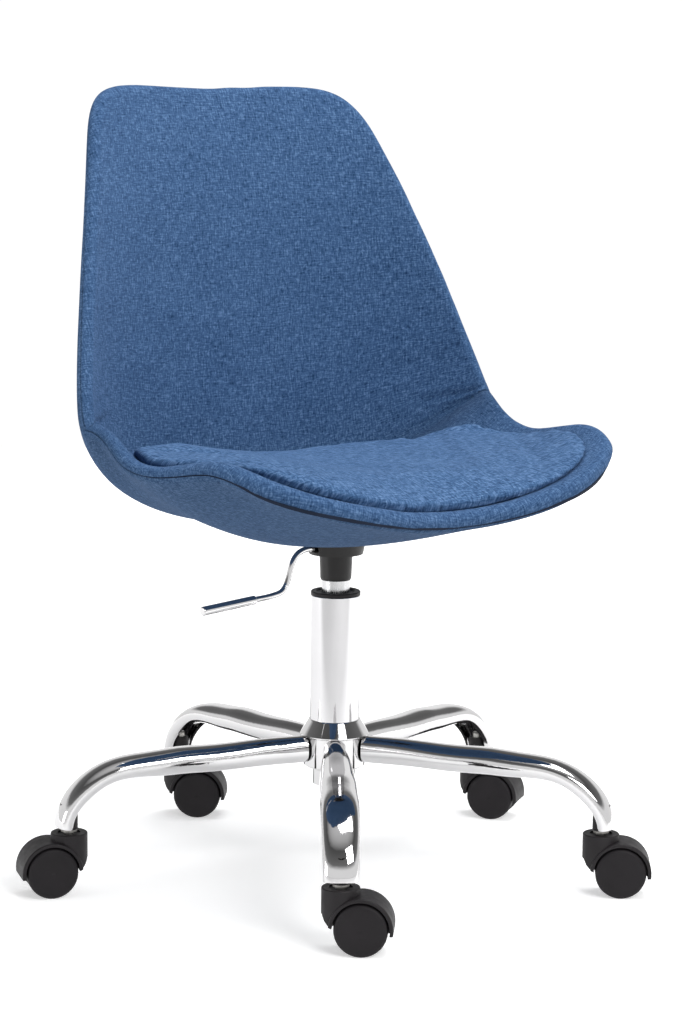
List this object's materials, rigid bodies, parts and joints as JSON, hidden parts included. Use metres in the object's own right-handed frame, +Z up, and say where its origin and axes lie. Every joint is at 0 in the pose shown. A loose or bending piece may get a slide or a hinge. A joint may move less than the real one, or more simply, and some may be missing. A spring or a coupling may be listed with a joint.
{
  "type": "swivel office chair",
  "caption": "Armless swivel office chair with a fabric bucket shell, padded cushion, gas lift column and a chromed star base on twin-wheel casters.",
  "frame": {"origin": "on the floor under the column's swivel axis", "axes": "+Z up along the column, -Y to the chair's front, +X to the sitter's left"},
  "size_m": [0.6138, 0.5735, 0.7825],
  "materials": {
    "chrome": "polished chrome plate",
    "black_plastic": "fine grained black nylon",
    "wheel_plastic": "smooth black nylon with a soft grain",
    "steel": "ground steel",
    "zinc_steel": "zinc plated steel",
    "black_metal": "black powder coat",
    "seal": "nitrile rubber",
    "shell": "moulded polypropylene",
    "cloth": "woven blue melange upholstery cloth",
    "cover_cloth": "woven blue melange upholstery cloth",
    "cushion_cloth": "woven blue melange upholstery cloth over foam"
  },
  "bodies": {
    "base": {"base_hub": "chrome", "column_tube": "chrome", "column_guide_bush": "black_plastic", "column_end_plate": "steel", "bearing_lower_race": "steel", "caster_sockets": "black_plastic", "leg_1": "chrome", "leg_2": "chrome", "leg_3": "chrome", "leg_4": "chrome", "leg_5": "chrome", "caster_stem_1": "zinc_steel", "caster_stem_2": "zinc_steel", "caster_stem_3": "zinc_steel", "caster_stem_4": "zinc_steel", "caster_stem_5": "zinc_steel"},
    "lift_rod": {"piston_rod": "steel", "piston_head": "black_plastic", "bearing_upper_race": "steel", "rod_clip": "zinc_steel", "bearing_balls": "steel"},
    "seat": {"gas_cylinder": "steel", "rod_seal": "seal", "taper_socket": "black_metal", "seat_plate": "black_metal", "lever_bracket": "zinc_steel", "lever_pivot_pin": "steel", "seat_shell": "shell", "rear_cover": "cover_cloth", "inner_lining": "cloth", "seat_cushion": "cushion_cloth", "plate_bolts": "zinc_steel", "plate_washers": "zinc_steel"},
    "release_pin": {"release_pin": "zinc_steel"},
    "release_lever": {"release_lever_rod": "chrome", "release_lever_grip": "chrome"},
    "caster_1": {"caster_1_hood": "black_plastic", "caster_1_axle": "steel"},
    "wheel_1_left": {"caster_1_wheel_left": "wheel_plastic"},
    "wheel_1_right": {"caster_1_wheel_right": "wheel_plastic"},
    "caster_2": {"caster_2_hood": "black_plastic", "caster_2_axle": "steel"},
    "wheel_2_left": {"caster_2_wheel_left": "wheel_plastic"},
    "wheel_2_right": {"caster_2_wheel_right": "wheel_plastic"},
    "caster_3": {"caster_3_hood": "black_plastic", "caster_3_axle": "steel"},
    "wheel_3_left": {"caster_3_wheel_left": "wheel_plastic"},
    "wheel_3_right": {"caster_3_wheel_right": "wheel_plastic"},
    "caster_4": {"caster_4_hood": "black_plastic", "caster_4_axle": "steel"},
    "wheel_4_left": {"caster_4_wheel_left": "wheel_plastic"},
    "wheel_4_right": {"caster_4_wheel_right": "wheel_plastic"},
    "caster_5": {"caster_5_hood": "black_plastic", "caster_5_axle": "steel"},
    "wheel_5_left": {"caster_5_wheel_left": "wheel_plastic"},
    "wheel_5_right": {"caster_5_wheel_right": "wheel_plastic"}
  },
  "joints": [
    {"name": "seat_swivel", "type": "hinge", "parent": "base", "child": "lift_rod", "pos_m": [0, 0, 0.1], "axis": [0, 0, 1], "continuous": true},
    {"name": "seat_height", "type": "slide", "parent": "lift_rod", "child": "seat", "axis": [0, 0, 1], "range_m": [-0.008, 0.09]},
    {"name": "lever_pull", "type": "hinge", "parent": "seat", "child": "release_lever", "pos_m": [-0.02, 0, 0.3322], "axis": [0, 1, 0], "range_deg": [0, 6.5], "stiffness_Nm_per_rad": 3, "springref_deg": -6.88},
    {"name": "pin_press", "type": "slide", "parent": "seat", "child": "release_pin", "axis": [0, 0, 1], "range_m": [-0.0024, 0]},
    {"name": "caster_1_swivel", "type": "hinge", "parent": "base", "child": "caster_1", "pos_m": [-0.17557, -0.21036, 0.06], "axis": [0, 0, 1], "continuous": true},
    {"name": "caster_1_left_roll", "type": "hinge", "parent": "caster_1", "child": "wheel_1_left", "pos_m": [-0.16187, -0.22423, 0.025], "axis": [0.7114, 0.7028, 0], "continuous": true},
    {"name": "caster_1_right_roll", "type": "hinge", "parent": "caster_1", "child": "wheel_1_right", "pos_m": [-0.16187, -0.22423, 0.025], "axis": [0.7114, 0.7028, 0], "continuous": true},
    {"name": "caster_2_swivel", "type": "hinge", "parent": "base", "child": "caster_2", "pos_m": [0.14581, -0.23198, 0.06], "axis": [0, 0, 1], "continuous": true},
    {"name": "caster_2_left_roll", "type": "hinge", "parent": "caster_2", "child": "wheel_2_left", "pos_m": [0.15975, -0.24562, 0.025], "axis": [0.699, 0.7151, 0], "continuous": true},
    {"name": "caster_2_right_roll", "type": "hinge", "parent": "caster_2", "child": "wheel_2_right", "pos_m": [0.15975, -0.24562, 0.025], "axis": [0.699, 0.7151, 0], "continuous": true},
    {"name": "caster_3_swivel", "type": "hinge", "parent": "base", "child": "caster_3", "pos_m": [0.26569, 0.06698, 0.06], "axis": [0, 0, 1], "continuous": true},
    {"name": "caster_3_left_roll", "type": "hinge", "parent": "caster_3", "child": "wheel_3_left", "pos_m": [0.27563, 0.05021, 0.025], "axis": [0.8603, 0.5098, 0], "continuous": true},
    {"name": "caster_3_right_roll", "type": "hinge", "parent": "caster_3", "child": "wheel_3_right", "pos_m": [0.27563, 0.05021, 0.025], "axis": [0.8603, 0.5098, 0], "continuous": true},
    {"name": "caster_4_swivel", "type": "hinge", "parent": "base", "child": "caster_4", "pos_m": [0.0184, 0.27338, 0.06], "axis": [0, 0, 1], "continuous": true},
    {"name": "caster_4_left_roll", "type": "hinge", "parent": "caster_4", "child": "wheel_4_left", "pos_m": [0.03234, 0.25975, 0.025], "axis": [0.699, 0.7151, 0], "continuous": true},
    {"name": "caster_4_right_roll", "type": "hinge", "parent": "caster_4", "child": "wheel_4_right", "pos_m": [0.03234, 0.25975, 0.025], "axis": [0.699, 0.7151, 0], "continuous": true},
    {"name": "caster_5_swivel", "type": "hinge", "parent": "base", "child": "caster_5", "pos_m": [-0.25432, 0.10198, 0.06], "axis": [0, 0, 1], "continuous": true},
    {"name": "caster_5_left_roll", "type": "hinge", "parent": "caster_5", "child": "wheel_5_left", "pos_m": [-0.27208, 0.11002, 0.025], "axis": [-0.4123, -0.911, 0], "continuous": true},
    {"name": "caster_5_right_roll", "type": "hinge", "parent": "caster_5", "child": "wheel_5_right", "pos_m": [-0.27208, 0.11002, 0.025], "axis": [-0.4123, -0.911, 0], "continuous": true}
  ],
  "couplings": [
    {"joint": "pin_press", "follows": "lever_pull", "m_per_rad": -0.02}
  ]
}
